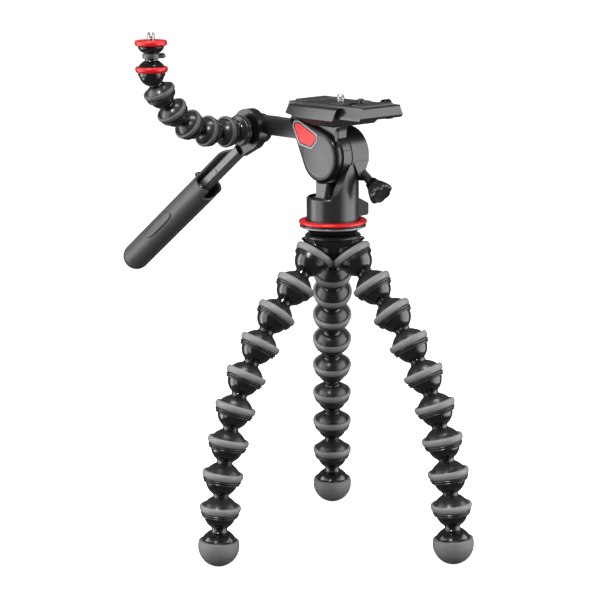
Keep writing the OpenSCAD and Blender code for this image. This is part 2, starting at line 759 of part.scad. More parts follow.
module handle_grip() {
    mouth = 7;         // closed part starts this far behind the pin
    ears_from = -5;
    tongue_from = -40;
    tongue_r = grip_r + 1.2;
    slot = bar_w / 2 + gap;
    color(rubber) on_handle() translate([bar_x, fold_at, -bar_offset]) difference() {
        union() {
            translate([0, ears_from, 0]) rotate([-90, 0, 0])
                cylinder(r = grip_r, h = grip_l - grip_r - ears_from);
            translate([0, grip_l - grip_r, 0]) sphere(r = grip_r);
            // tongue over the bar
            translate([0, tongue_from, 0]) rotate([-90, 0, 0]) difference() {
                cylinder(r = tongue_r, h = mouth - tongue_from);
                translate([0, 0, -1]) cylinder(r = tongue_r - 2.6, h = 12 - tongue_from);
            }
        }
        // the tongue is open below and on the outer side
        translate([-30, tongue_from - 1, -30]) cube([60, ears_from - tongue_from + 1, 31.6]);
        translate([-30, ears_from - eps, -30]) cube([60, mouth - ears_from, 30 - grip_r * 0.62]);
        // slot of the bar, round behind the pin
        translate([-slot, tongue_from - 1, -bar_h / 2 - 8])
            cube([2 * slot, 1 - tongue_from, bar_h + 8 + gap]);
        rod_x(bar_h / 2 + gap, -slot, slot);
        translate([-slot, -eps, -20]) cube([2 * slot, bar_h / 2 + gap, 20]);
        rod_x(pin_r + fit, -grip_r - 2, grip_r + 2);
        // thumb field in the side
        translate([-grip_r, 55, 2]) rotate([0, -12, 0]) cube([1.2, 27, 8]);
        // well of the button
        translate([0, 3, grip_r - 3.6]) cylinder(r = 2.4 + fit, h = 8);
    }
}

module fold_button() {
    color(black) on_handle() translate([bar_x, fold_at + 3, -bar_offset + grip_r - 3.6 + 1.6]) {
        cylinder(r = 2.4, h = 4.4);
        translate([0, 0, 4.4]) cylinder(r1 = 2.4, r2 = 1.8, h = 0.5);
    }
}

// ---- arm ----

module arm_base() {
    s = arm_scale;
    color(black) union() {
        translate([0, hub_back, hub_z]) {
            // ribbed washer on its bolt
            for (i = [0:2]) rod_x(washer_r - i * 0.4, washer_x - washer_w + i * 1.1,
                                  washer_x - washer_w + i * 1.1 + 0.75);
            rod_x(washer_r - 1.4, washer_x - washer_w - 1, washer_x);
            rod_x(bolt_r, washer_x - 1, lug_x - 3.4);
        }
        translate([arm_x, hub_back, arm_z]) rotate([0, -90, 0]) {
            translate([0, 0, -arm_flange_w]) cylinder(r = s * ring_r, h = 2.6);
            translate([0, 0, -arm_flange_w + 2.6]) cylinder(r1 = s * ring_r - 0.4, r2 = s * 11, h = 1.6);
            translate([0, 0, -1]) cylinder(r = s * neck_r, h = 3);
            translate([0, 0, arm_x - arm_ball_x]) rotate([180, 0, 0]) scale(s) rotate([180, 0, 0])
                rotate_extrude() ball_profile(ball_r, ball_top, neck_r, ball_r - 0.4);
        }
    }
}

// Frame of the ball of arm joint k, +Z along the next link towards the tip
module at_arm(k) {
    translate([arm_ball_x - arm_pitch * arm_cos(k), hub_back, arm_z + arm_pitch * arm_sin(k)])
        rotate([0, -90 + ARM_LEANS[k], 0]) children();
}

module arm_link(k) {
    at_arm(k) scale(arm_scale) translate([0, 0, arm_pitch / arm_scale]) {
        color(black) link(arm_pitch / arm_scale);
        color(rubber) translate([0, 0, -arm_pitch / arm_scale]) grip_ring();
    }
}

bowl_z = waist_up + 2.1;    // underside of the bowl over the tip's ball centre
bowl_h = 4.9;
disc_z = bowl_z + bowl_h + gap;
disc_r = 11.6;
disc_h = 4;

module arm_head() {
    s = arm_scale;
    bell = s * dome_top;
    color(black) translate([tip_x, hub_back, tip_z]) {
        scale(s) rotate_extrude() socket_profile();
        translate([0, 0, bell - eps]) cylinder(r = waist_r, h = bowl_z - bell + 1);
        translate([0, 0, bell - 0.8]) cylinder(r1 = s * neck_r + 1.6, r2 = waist_r, h = 1.4);
        translate([0, 0, bowl_z]) rotate_extrude() difference() {
            polygon([[0, 0], [waist_r + 1, 0], [7.8, 1.8], [9.4, bowl_h - 0.6], [9.4, bowl_h], [0, bowl_h]]);
            translate([0, 1.4]) square([screw_r - 0.4 + fit, bowl_h]);
        }
    }
}

module arm_head_ring() {
    color(red) translate([tip_x, hub_back, tip_z]) scale(arm_scale) grip_ring();
}

// Lock disc that turns on the screw
module arm_disc() {
    round_r = 1.3;
    in_r = screw_r - 0.4 + fit;
    color(red) translate([tip_x, hub_back, tip_z + disc_z]) rotate_extrude() union() {
        translate([in_r, 0]) square([disc_r - round_r - in_r, disc_h]);
        translate([in_r, round_r]) square([disc_r - in_r, disc_h - 2 * round_r]);
        for (z = [round_r, disc_h - round_r]) translate([disc_r - round_r, z]) circle(r = round_r);
    }
}

module arm_lock_ring() {
    h = 3.4;
    color(grey) translate([tip_x, hub_back, tip_z + waist_up - h / 2]) difference() {
        union() {
            cylinder(r = lock_r, h = h);
            linear_extrude(h) teardrop(lock_r - 1, 2, [8.2, -1.4]);
        }
        translate([0, 0, -1]) cylinder(r = waist_r + fit, h = h + 2);
    }
}

module arm_screw() {
    foot = bowl_z + 1.4 + fit;
    thread_z = disc_z + disc_h + gap;
    color(steel) translate([tip_x, hub_back, tip_z]) {
        translate([0, 0, foot]) cylinder(r = screw_r - 0.4, h = thread_z - foot + eps);
        translate([0, 0, thread_z]) cylinder(r = screw_r, h = screw_l - 1);
        translate([0, 0, thread_z + screw_l - 1]) cylinder(r1 = screw_r, r2 = screw_r - 0.6, h = 0.6);
    }
}

leg_hub();
leg_hub_rings();
head_flange();
collar_ring();
pan_base();
cradle();
side_cover();
cover_badge();
tilt_lock_knob();
plate_seat();
plate_lever();
camera_plate();
plate_pads();
camera_screw();
video_pin();
handle_bracket();
handle_bar();
fold_pin();
handle_grip();
fold_button();
arm_base();
arm_link(0);  // arm_link_1
arm_link(1);  // arm_link_2
arm_link(2);  // arm_link_3
arm_link(3);  // arm_link_4
arm_link(4);  // arm_link_5
arm_head();
arm_head_ring();
arm_disc();
arm_lock_ring();
arm_screw();
leg_link(0, 0);  // leg_a_link_1
leg_link(0, 1);  // leg_a_link_2
leg_link(0, 2);  // leg_a_link_3
leg_link(0, 3);  // leg_a_link_4
leg_link(0, 4);  // leg_a_link_5
leg_link(0, 5);  // leg_a_link_6
leg_link(0, 6);  // leg_a_link_7
leg_link(0, 7);  // leg_a_link_8
foot_link(0);  // leg_a_foot
leg_link(1, 0);  // leg_b_link_1
leg_link(1, 1);  // leg_b_link_2
leg_link(1, 2);  // leg_b_link_3
leg_link(1, 3);  // leg_b_link_4
leg_link(1, 4);  // leg_b_link_5
leg_link(1, 5);  // leg_b_link_6
leg_link(1, 6);  // leg_b_link_7
leg_link(1, 7);  // leg_b_link_8
foot_link(1);  // leg_b_foot
leg_link(2, 0);  // leg_c_link_1
leg_link(2, 1);  // leg_c_link_2
leg_link(2, 2);  // leg_c_link_3
leg_link(2, 3);  // leg_c_link_4
leg_link(2, 4);  // leg_c_link_5
leg_link(2, 5);  // leg_c_link_6
leg_link(2, 6);  // leg_c_link_7
leg_link(2, 7);  // leg_c_link_8
foot_link(2);  // leg_c_foot
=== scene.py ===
import bpy
import bmesh
import json
import math
from mathutils import Matrix, Vector


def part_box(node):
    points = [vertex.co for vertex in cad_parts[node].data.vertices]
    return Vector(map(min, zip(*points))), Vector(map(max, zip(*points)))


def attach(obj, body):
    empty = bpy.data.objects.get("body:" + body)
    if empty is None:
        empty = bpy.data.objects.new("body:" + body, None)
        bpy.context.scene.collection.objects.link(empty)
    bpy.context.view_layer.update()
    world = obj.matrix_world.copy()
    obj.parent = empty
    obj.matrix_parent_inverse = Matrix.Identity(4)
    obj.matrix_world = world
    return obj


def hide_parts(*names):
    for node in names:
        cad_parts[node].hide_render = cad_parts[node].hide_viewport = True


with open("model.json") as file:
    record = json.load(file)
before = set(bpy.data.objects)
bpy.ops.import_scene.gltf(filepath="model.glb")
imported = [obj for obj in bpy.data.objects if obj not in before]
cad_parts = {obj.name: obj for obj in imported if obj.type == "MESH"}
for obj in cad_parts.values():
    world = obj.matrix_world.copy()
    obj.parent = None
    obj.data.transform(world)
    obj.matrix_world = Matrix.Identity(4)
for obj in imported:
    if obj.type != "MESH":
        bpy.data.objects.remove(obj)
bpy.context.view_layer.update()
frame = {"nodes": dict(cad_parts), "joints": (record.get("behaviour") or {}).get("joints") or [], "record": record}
record = frame["record"]
nodes = frame["nodes"]
joints = {j["name"]: j for j in frame["joints"]}
body_of = {n: b for b, ns in record["behaviour"]["bodies"].items() for n in ns}
MM = 0.001  # outlines are in millimetres, and every mesh is in metres


# ---- materials ----

class Socket:
    """An output socket that takes part in plain arithmetic."""

    def __init__(self, tree, out):
        self.tree, self.out = tree, out

    def _math(self, operation, *values):
        return add_node(self.tree, "ShaderNodeMath", {"operation": operation}, dict(enumerate(values)))

    def __add__(self, other): return self._math("ADD", self, other)
    def __radd__(self, other): return self._math("ADD", other, self)
    def __sub__(self, other): return self._math("SUBTRACT", self, other)
    def __rsub__(self, other): return self._math("SUBTRACT", other, self)
    def __mul__(self, other): return self._math("MULTIPLY", self, other)
    def __rmul__(self, other): return self._math("MULTIPLY", other, self)

    def clamp(self, low=0.0, high=1.0):
        return self._math("MINIMUM", self._math("MAXIMUM", self, low), high)


def plug(tree, socket, value):
    """Links an input socket, or sets its constant. A colour is a tuple of three."""
    if isinstance(value, Socket):
        tree.links.new(value.out, socket)
    elif isinstance(value, tuple):
        socket.default_value = (*value, 1.0)
    else:
        socket.default_value = value


def add_node(tree, kind, settings=None, sockets=None, out=0):
    """Adds a node: its settings first, then the values or links of its sockets."""
    node = tree.nodes.new(kind)
    for key, value in (settings or {}).items():
        setattr(node, key, value)
    for key, value in (sockets or {}).items():
        plug(tree, node.inputs[key], value)
    return Socket(tree, node.outputs[out])


class Finish:
    """One material: a node tree with a shader, and the few ways to add a node to it."""

    MIX_FACTOR, MIX_A, MIX_B, MIX_RESULT = 0, 6, 7, 2  # the colour sockets of a Mix node

    def __init__(self, name, color, rough, metallic=0.0, **constants):
        self.mat = bpy.data.materials.new(name)
        self.mat.use_nodes = True
        self.tree = self.mat.node_tree
        self.shader = self.tree.nodes["Principled BSDF"]
        self.put("Base Color", color)
        self.put("Roughness", rough)
        self.put("Metallic", metallic)
        for key, value in constants.items():
            self.put(key.replace("_", " "), value)

    def put(self, name, value):
        plug(self.tree, self.shader.inputs[name], value)

    def noise(self, scale, detail=2.0, rough=0.5):
        """Noise over the object's own place, its scale in waves to a metre."""
        place = add_node(self.tree, "ShaderNodeTexCoord", out="Object")
        return add_node(self.tree, "ShaderNodeTexNoise", {},
                        {"Vector": place, "Scale": scale, "Detail": detail, "Roughness": rough}, "Fac")

    def mix(self, factor, a, b):
        return add_node(self.tree, "ShaderNodeMix", {"data_type": "RGBA"},
                        {self.MIX_FACTOR: factor, self.MIX_A: a, self.MIX_B: b}, self.MIX_RESULT)

    def bump(self, height, strength, distance):
        self.put("Normal", add_node(self.tree, "ShaderNodeBump", {},
                                    {"Height": height, "Strength": strength, "Distance": distance}))


def rgb(*levels):
    """A screen colour of 0 to 255 as linear light."""
    return tuple((c / 255 / 12.92) if c / 255 <= 0.04045 else ((c / 255 + 0.055) / 1.055) ** 2.4
                 for c in levels)


def shade(color, factor):
    """A colour made darker or lighter."""
    return tuple(factor * c for c in color)


def swing(noise, amount):
    """A noise as a small value on both sides of nothing."""
    return (noise - 0.5) * amount


def moulded(name, color, rough, grain, coat=0.0, specular=0.5):
    """Moulded plastic: slow variation in gloss and colour, and a fine grain."""
    f = Finish(name, color, rough, Coat_Weight=coat, Coat_Roughness=0.08, Specular_IOR_Level=specular)
    slow = f.noise(scale=60, detail=3)
    fine = f.noise(scale=2600)
    f.put("Roughness", (rough + swing(slow, 0.06) + swing(fine, 0.05)).clamp(0.03, 0.95))
    f.put("Base Color", f.mix(slow, shade(color, 0.8), shade(color, 1.25)))
    f.bump(fine, strength=grain, distance=0.0002)
    return f


def rubbery(name, color, rough, grain):
    """Rubber: a coarser, deeper grain and slow variation in colour."""
    f = Finish(name, color, rough)
    fine = f.noise(scale=1900, detail=3, rough=0.6)
    slow = f.noise(scale=90, detail=3)
    f.put("Base Color", f.mix(slow, shade(color, 0.85), shade(color, 1.2)))
    f.put("Roughness", (rough + swing(slow, 0.1)).clamp())
    f.bump(fine, strength=grain, distance=0.0004)
    return f


def coated(name, color, rough, metallic, grain=0.12):
    """Powder coated or anodised metal: tiny grains that sparkle a little."""
    f = Finish(name, color, rough, metallic)
    fine = f.noise(scale=3200, rough=0.7)
    slow = f.noise(scale=45, detail=3)
    f.put("Base Color", f.mix(fine, shade(color, 0.82), shade(color, 1.2)))
    f.put("Roughness", (rough + swing(slow, 0.08) + swing(fine, 0.06)).clamp(0.05, 0.95))
    f.bump(fine, strength=grain, distance=0.00025)
    return f


def plated(name, color, rough):
    """Plated steel: bare metal with slow variation in gloss."""
    f = Finish(name, color, rough, metallic=1.0)
    slow = f.noise(scale=300)
    f.put("Roughness", (rough + swing(slow, 0.1)).clamp(0.05, 0.9))
    return f


GLOSS = moulded("black_gloss_plastic", rgb(12, 12, 13), 0.2, 0.02, coat=0.35)
# black plastic of the hubs, also used as painted shade on the camera plate's top
HUB_PLASTIC_AND_SHADE = moulded("black_hub_plastic_and_painted_shade", rgb(17, 17, 18), 0.3, 0.04)
LIP = moulded("black_lip_plastic", rgb(30, 30, 31), 0.3, 0.06)
RUBBER = rubbery("dark_grey_rubber", rgb(114, 114, 116), 0.5, 0.35)
ARM_BELL = moulded("charcoal_satin_plastic", rgb(38, 38, 39), 0.3, 0.05)
LEG_BELL = moulded("black_satin_plastic", rgb(30, 30, 31), 0.3, 0.05)
ARM_RUBBER = rubbery("charcoal_rubber", rgb(74, 74, 76), 0.5, 0.3)
FOOT = rubbery("foot_rubber", rgb(100, 100, 102), 0.6, 0.5)
SATIN = coated("dark_satin_coat", rgb(68, 68, 70), 0.3, 0.8, 0.05)
DEEP = coated("black_satin_coat", rgb(42, 42, 44), 0.2, 0.8, 0.02)
SHELL = moulded("black_shell_plastic", rgb(16, 16, 17), 0.2, 0.03, specular=0.2)
# black matt plastic of the pan brake's lobe, also used as painted shade under the flange plate
MATT_PLASTIC_AND_SHADE = moulded("black_matt_plastic_and_painted_shade", rgb(34, 34, 35), 0.45, 0.08, specular=0.15)
FIELD = coated("grey_satin_coat", rgb(72, 72, 74), 0.36, 0.7, 0.06)
BAR = coated("grey_bar_coat", rgb(104, 104, 106), 0.4, 0.5, 0.08)
# grey anodised metal of the flange plate; on the badge's rim its light grey is a painted highlight
GREY = coated("grey_anodised_and_painted_highlight", rgb(120, 121, 122), 0.34, 0.6)
LOCK = coated("dark_grey_metal", rgb(82, 82, 84), 0.4, 0.6)
RED = coated("red_anodised", rgb(204, 24, 28), 0.34, 0.2)
BADGE = moulded("red_badge", rgb(216, 42, 44), 0.4, 0.02, specular=0.35)
GRIP = rubbery("grip_rubber", rgb(66, 66, 67), 0.42, 0.3)
STEEL = plated("plated_steel", rgb(188, 188, 190), 0.28)
PIN = plated("dark_pin_steel", rgb(60, 60, 62), 0.3)


# ---- mesh helpers ----

TOUCH = 1e-6  # nearer than this counts as the same place
WELD = 0.00002  # points of a CAD mesh this near are joined
FLAT = math.radians(0.6)  # facets that meet flatter than this are joined


def piece(name, mesh, body, finish, smooth=40):
    """A visible piece with its finish and the body that it rides on."""
    o = bpy.data.objects.new(name, mesh)
    bpy.context.scene.collection.objects.link(o)
    mesh.materials.clear()
    mesh.materials.append(finish.mat)
    mesh.shade_smooth()
    if smooth:
        mesh.set_sharp_from_angle(angle=math.radians(smooth))
    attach(o, body)
    return o


def circle(r, z, steps):
    """Points of a level circle round Z."""
    return [(r * math.cos(2 * math.pi * i / steps), r * math.sin(2 * math.pi * i / steps), z)
            for i in range(steps)]


def mesh_from(bm, name):
    """The finished mesh of a bmesh, with its faces turned outwards."""
    bmesh.ops.recalc_face_normals(bm, faces=bm.faces)
    mesh = bpy.data.meshes.new(name)
    bm.to_mesh(mesh)
    bm.free()
    return mesh


def lathe(profile, steps=64):
    """Mesh of a closed or open outline (radius, height) in millimetres turned about Z."""
    bm = bmesh.new()
    rings = []
    for r, z in profile:
        if r < TOUCH:
            rings.append([bm.verts.new((0, 0, z * MM))])
        else:
            rings.append([bm.verts.new((r * MM * math.cos(2 * math.pi * i / steps),
                                        r * MM * math.sin(2 * math.pi * i / steps), z * MM))
                          for i in range(steps)])
    for a, b in zip(rings, rings[1:]):
        if len(a) == 1 and len(b) == 1:
            continue
        for i in range(steps):
            j = (i + 1) % steps
            if len(a) == 1:
                bm.faces.new((a[0], b[j], b[i]))
            elif len(b) == 1:
                bm.faces.new((a[i], a[j], b[0]))
            else:
                bm.faces.new((a[i], a[j], b[j], b[i]))
    return mesh_from(bm, "turned")


def arc(cx, cy, r, a0, a1, n=8):
    """Points of an arc, angles in degrees."""
    return [(cx + r * math.cos(math.radians(a0 + (a1 - a0) * i / n)),
             cy + r * math.sin(math.radians(a0 + (a1 - a0) * i / n))) for i in range(n + 1)]


def placed(mesh, matrix):
    """The mesh, carried to its place."""
    mesh.transform(matrix)
    return mesh


def along(origin, direction, around=Vector((0, 1, 0))):
    """Matrix that carries +Z to a direction and the origin to a point in metres."""
    z = Vector(direction).normalized()
    x = around.cross(z)
    if x.length < 1e-4:  # the two directions agree, so another one is taken
        x = Vector((1, 0, 0)).cross(z)
    x.normalize()
    y = z.cross(x)
    m = Matrix((x, y, z)).transposed().to_4x4()
    m.translation = Vector(origin)
    return m


def applied(o):
    """The piece with its modifiers worked into its mesh."""
    graph = bpy.context.evaluated_depsgraph_get()
    done = bpy.data.meshes.new_from_object(o.evaluated_get(graph))
    o.modifiers.clear()
    o.data = done
    return o


def softened(node, finish, width=0.45, segments=2, angle=33, body=None, shape=None):
    """The shape of a CAD piece with its facets joined and its edges rounded, for that piece's place."""
    source = nodes[node]
    bm = bmesh.new()
    bm.from_mesh(source.data)
    bm.transform(source.matrix_world)
    bmesh.ops.remove_doubles(bm, verts=bm.verts, dist=WELD)
    bmesh.ops.dissolve_limit(bm, angle_limit=FLAT, verts=bm.verts, edges=bm.edges)
    if shape:
        for v in bm.verts:
            v.co = shape(v.co)
    mesh = bpy.data.meshes.new(f"{node}_soft")
    bm.to_mesh(mesh)
    bm.free()
    o = piece(f"{node}_soft", mesh, body or body_of[node], finish, 0)
    bevel = o.modifiers.new("edges", "BEVEL")
    bevel.width = width * MM
    bevel.segments = segments
    bevel.limit_method = "ANGLE"
    bevel.angle_limit = math.radians(angle)
    bevel.use_clamp_overlap = True
    bevel.loop_slide = True
    weighted = o.modifiers.new("flats", "WEIGHTED_NORMAL")
    weighted.weight = 80
    weighted.keep_sharp = False
    applied(o)
    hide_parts(node)
    return o


def refinish(o, finish, chosen):
    """Gives a second finish to the faces of a piece that a test picks."""
    o.data.materials.append(finish.mat)
    for face in o.data.polygons:
        if chosen(face):
            face.material_index = 1


def turned(name, outline, matrix, body, finish, replaces=None, steps=64, smooth=40, second=None):
    """A piece turned about Z from an outline in millimetres, then put in place.

    The second finish goes on the rows of faces between two places in the outline."""
    o = piece(name, placed(lathe(outline, steps), matrix), body, finish, smooth)
    if second:
        other, first, last = second
        refinish(o, other, lambda face: first <= face.index // steps < last)
    if replaces:
        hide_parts(replaces)
    return o


def loft(rings, caps=True):
    """Mesh through rings of points in millimetres, all with the same number of points."""
    bm = bmesh.new()
    made = [[bm.verts.new(Vector(p) * MM) for p in ring] for ring in rings]
    for a, b in zip(made, made[1:]):
        for i in range(len(a)):
            j = (i + 1) % len(a)
            bm.faces.new((a[i], a[j], b[j], b[i]))
    if caps:
        bm.faces.new(made[0])
        bm.faces.new(list(reversed(made[-1])))
    bmesh.ops.remove_doubles(bm, verts=bm.verts, dist=TOUCH)
    return mesh_from(bm, "lofted")


def round_outline(circles, inset=0.0, n=96):
    """Points on the tight outline round some circles (u, v, radius), drawn in by an inset."""
    points = []
    for i in range(n):
        a = 2 * math.pi * i / n
        u, v = math.cos(a), math.sin(a)
        cu, cv, r = max(circles, key=lambda q: q[0] * u + q[1] * v + q[2])
        points.append((cu + (r - inset) * u, cv + (r - inset) * v))
    return points


STUD_STEPS = 36


def thread_rows(core, crest, pitch, low, high, steps=STUD_STEPS, rows_per_turn=7):
    """Rings of a screw thread between two heights, in millimetres."""
    rows = max(2, round((high - low) / pitch * rows_per_turn))
    rings = []
    for k in range(rows + 1):
        z = low + (high - low) * k / rows
        fade = min(1.0, k / 3, (rows - k) / 3)  # the crest grows over the first and last three rows
        ring = []
        for i in range(steps):
            turn = (z / pitch - i / steps) % 1.0
            r = core + (crest - core) * fade * min(1.0, 1.6 * (1 - abs(2 * turn - 1)))
            ring.append((r * math.cos(2 * math.pi * i / steps), r * math.sin(2 * math.pi * i / steps), z))
        rings.append(ring)
    return rings


# ---- ball links ----

BALL_R = 11.8
BALL_GAP = 0.06
BALL_FLAT = 2.2  # height of a ball's flat top above its centre
DOME_TOP = 11.6  # height of a bell above the centre of the ball that it holds
LEG_PITCH = 25.0
FOOT_R = 15.2
FOOT_LEAN = math.radians(3.5)
ARM = 0.777  # the arm's links are the legs' links at this scale
LEG_BELL_ROWS = (23, 37)  # rows of an outline that make the outside of a bell
ARM_BELL_ROWS = (22, 37)


def ball_outline():
    """Ball of a link from its flat top down to its neck, its centre at 0."""
    return ([(0.0, BALL_FLAT), (11.4, BALL_FLAT)] + arc(0, 0, BALL_R, 12, -59, 16)
            + [(6.15, -10.35), (5.75, -10.6)])


def dome_outline(top):
    """Shoulder of a bell that starts at a height, from the neck outwards."""
    shape = [(7.3, -0.15), (7.9, -0.45), (8.7, -1.05), (9.5, -1.75), (10.3, -2.5), (11.0, -3.3),
             (11.6, -4.1), (12.1, -4.8), (12.5, -5.4)]
    return [(r, top + z) for r, z in shape]


def socket_outline(centre):
    """Bell, ring seat, stepped lip and inside of a socket, from the neck outwards."""
    side = [(12.55, 6.1), (12.6, -1.3), (12.3, -2.0), (11.95, -2.1), (11.72, -1.8)]
    return (dome_outline(centre + DOME_TOP) + [(r, centre + z) for r, z in side]
            + arc(0, centre, BALL_R + BALL_GAP, -7, 54, 8) + [(0.0, centre + 9.7)])


def link_outline(pitch):
    """Whole link, from the ball down to the socket that lies a pitch below it."""
    top = DOME_TOP - pitch
    neck = [(5.75, -12.3), (6.3, -12.7), (6.5, top + 0.35), (6.9, top + 0.1), (7.4, top - 0.05)]
    return ball_outline() + neck + socket_outline(-pitch)


def ring_outline(middle):
    """Rubber ring, fullest above its middle and drawn in towards the lip below."""
    shape = [(12.7, 2.3), (12.9, 2.75), (13.5, 2.95), (14.2, 2.85), (14.75, 2.45), (15.05, 1.8),
             (15.15, 0.9), (15.1, 0.1), (14.9, -0.7), (14.55, -1.4), (14.15, -1.95), (13.7, -2.3),
             (12.7, -2.3), (12.7, 2.3)]
    return [(r, middle + z) for r, z in shape]


def lip_outline(centre):
    """Two rounded steps under the rubber ring."""
    shape = [(12.4, 1.25), (13.2, 1.25), (13.3, 1.0), (13.9, 0.85), (14.1, 0.5), (14.0, -0.05), (13.7, -0.42),
             (13.1, -0.55), (12.95, -0.75), (13.3, -0.9), (13.45, -1.2), (13.3, -1.75), (12.9, -2.15),
             (12.3, -2.3), (12.05, -2.2), (12.05, -1.0), (12.4, 1.25)]
    return [(r, centre + z) for r, z in shape]


def scaled(outline, factor):
    """An outline made larger or smaller about its 0."""
    return [(r * factor, z * factor) for r, z in outline]


LEG_RING = 3.6 - LEG_PITCH  # the middle of a ring is 3.6 above the ball in its socket
for leg in "abc":
    centres = [Vector(joints[f"leg_{leg}_ball_{k}"]["pos_m"]) for k in range(1, 10)]
    ankle = centres[-1]
    outward = Vector((ankle.x, ankle.y, 0)).normalized()
    across = Vector((-outward.y, outward.x, 0))
    for k, (upper, lower) in enumerate(zip(centres, centres[1:]), 1):
        node = f"leg_{leg}_link_{k}"
        m = along(upper, upper - lower, across)
        turned(f"{node}_body", link_outline(LEG_PITCH), m, node, GLOSS, node,
               second=(LEG_BELL, *LEG_BELL_ROWS))
        turned(f"{node}_lip", lip_outline(-LEG_PITCH), m, node, LIP)
        turned(f"{node}_ring", ring_outline(LEG_RING), m, node, RUBBER)
    node = f"leg_{leg}_foot"
    m = along(ankle, Vector((0, 0, math.cos(FOOT_LEAN))) - outward * math.sin(FOOT_LEAN), across)
    neck = [(5.75, -12.6), (6.3, -13.3), (6.9, -13.9), (7.4, -14.2)]
    cup = dome_outline(-13.6) + [(12.9, -19.3), (12.6, -19.78), (0.0, -19.78)]
    turned(f"{node}_body", ball_outline() + neck + cup, m, node, GLOSS, node)
    pad = [(0.0, -19.86), (13.2, -19.86), (13.9, -20.0)] + arc(0, -24.4, FOOT_R, 15.4, -90, 30)
    turned(f"{node}_rubber", pad, m, node, FOOT, steps=72)

# ---- hub of the legs ----

softened("leg_hub", HUB_PLASTIC_AND_SHADE, 0.55, 3)
HIP_RING = 4.9
for leg in "abc":
    hip, knee = (Vector(joints[f"leg_{leg}_ball_{k}"]["pos_m"]) for k in (1, 2))
    m = along(hip, hip - knee)
    turned(f"hip_ring_{leg}", ring_outline(HIP_RING), m, body_of["leg_hub"], RUBBER,
           "leg_hub_rings" if leg == "a" else None)

# ---- pan base ----


def upright(height):
    """Matrix that lifts an outline to a height in metres on the pan axis."""
    return Matrix.Translation((0, 0, height))


root_body = body_of["leg_hub"]
flange_low, flange_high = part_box("head_flange")
collar_low, collar_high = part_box("collar_ring")
flange_r = flange_high[0] / MM
collar_r = collar_high[0] / MM
plate_cone = [(0, 0.02), (15.6, 0.02), (16.2, 0.3), (17.2, 1.6), (19.2, 3.0), (flange_r - 1.8, 4.9)]
plate_edge = [(flange_r - 0.5, 5.2), (flange_r - 0.1, 5.4), (flange_r, 5.7), (flange_r, 6.3),
              (flange_r - 0.25, 6.6), (flange_r - 0.9, 6.78)]
spindle = [(8.2, 6.78), (8, 7.0), (8, 19.3), (7.5, 19.78), (0, 19.78)]
# The cone under the flange plate gets the black matt plastic as painted shade: its underside is painted darker
# than the grey plate above.
turned("head_flange_plate", plate_cone + plate_edge + spindle, upright(flange_low[2]), root_body, GREY,
       "head_flange", 96, second=(MATT_PLASTIC_AND_SHADE, 0, len(plate_cone) - 1))

collar_inner = collar_r - 4.9
turned("collar_seat",
       [(collar_inner, 0.02), (collar_r - 1.4, 0.02), (collar_r - 0.9, 0.3), (collar_r - 0.9, 1.0),
        (collar_inner, 1.0), (collar_inner, 0.02)],
       upright(collar_low[2]), root_body, DEEP, None, 96)
BAND_R = 1.2  # roundness of the collar's outer edges
BAND_LOW, BAND_HIGH = 0.85, 3.4
turned("collar_band",
       [(collar_inner, 0.95)] + arc(collar_r - BAND_R, BAND_LOW + BAND_R, BAND_R, -90, 0, 6)
       + arc(collar_r - BAND_R, BAND_HIGH - BAND_R, BAND_R, 0, 90, 6)
       + [(collar_r - 3.6, 3.5), (collar_r - 4.6, 3.56), (collar_inner, 3.45), (collar_inner, 0.95)],
       upright(collar_low[2]), root_body, RED, "collar_ring", 96)

tilt = Vector(joints["head_tilt"]["pos_m"])
DRUM_END = 18.6
DRUM_R = 20
BASE_R = 19.2
LOBE_DROP = 0.026  # the pan brake's lobe lies further under the tilt axis than this, in metres


def boss_taper(p):
    """Draws the outer corner of the lock screw's boss in towards its lower end."""
    drop = (tilt.z - p.z) / MM
    reach = math.hypot((p.y - tilt.y) / MM, drop)
    if p.y < tilt.y and reach > DRUM_R + 0.2 and 3 < drop < 19 and p.x / MM > DRUM_END - 6:
        limit = DRUM_END - 1.1 - 4.8 * min(1.0, max(0.0, (drop - 3.8) / 9.5))
        return Vector((min(p.x, limit * MM), p.y, p.z))
    return p


pan_base = softened("pan_base", SATIN, 0.6, 3, shape=boss_taper)
refinish(pan_base, MATT_PLASTIC_AND_SHADE,
         lambda face: face.center.x > (BASE_R + 0.1) * MM and face.center.z < tilt.z - LOBE_DROP)

# ---- tilting cradle ----

softened("cradle", SATIN, 0.5, 3)

# outlines of circles (y, z, radius) from the tilt axis, in millimetres
cover_low, cover_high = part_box("side_cover")
TIP_R = 3.8
COVER = [(0.0, 0.0, (tilt.z - cover_low[2]) / MM),
         ((cover_high[1] - tilt.y) / MM - TIP_R + 3.2, (cover_high[2] - tilt.z) / MM - TIP_R - 0.4, TIP_R)]
KITE = [(23.2, 20.4, 2.4), (20.6, 20.6, 2.2), (5.2, 13.0, 2.9), (8.4, 9.4, 2.9), (18.2, 10.8, 2.6)]


def plate_rings(circles, steps, n):
    """Rings (x, y, z) of a flat piece on the tilt axis from (x, inset) pairs, in millimetres."""
    return [[(x, u + tilt.y / MM, v + tilt.z / MM) for u, v in round_outline(circles, inset, n)]
            for x, inset in steps]


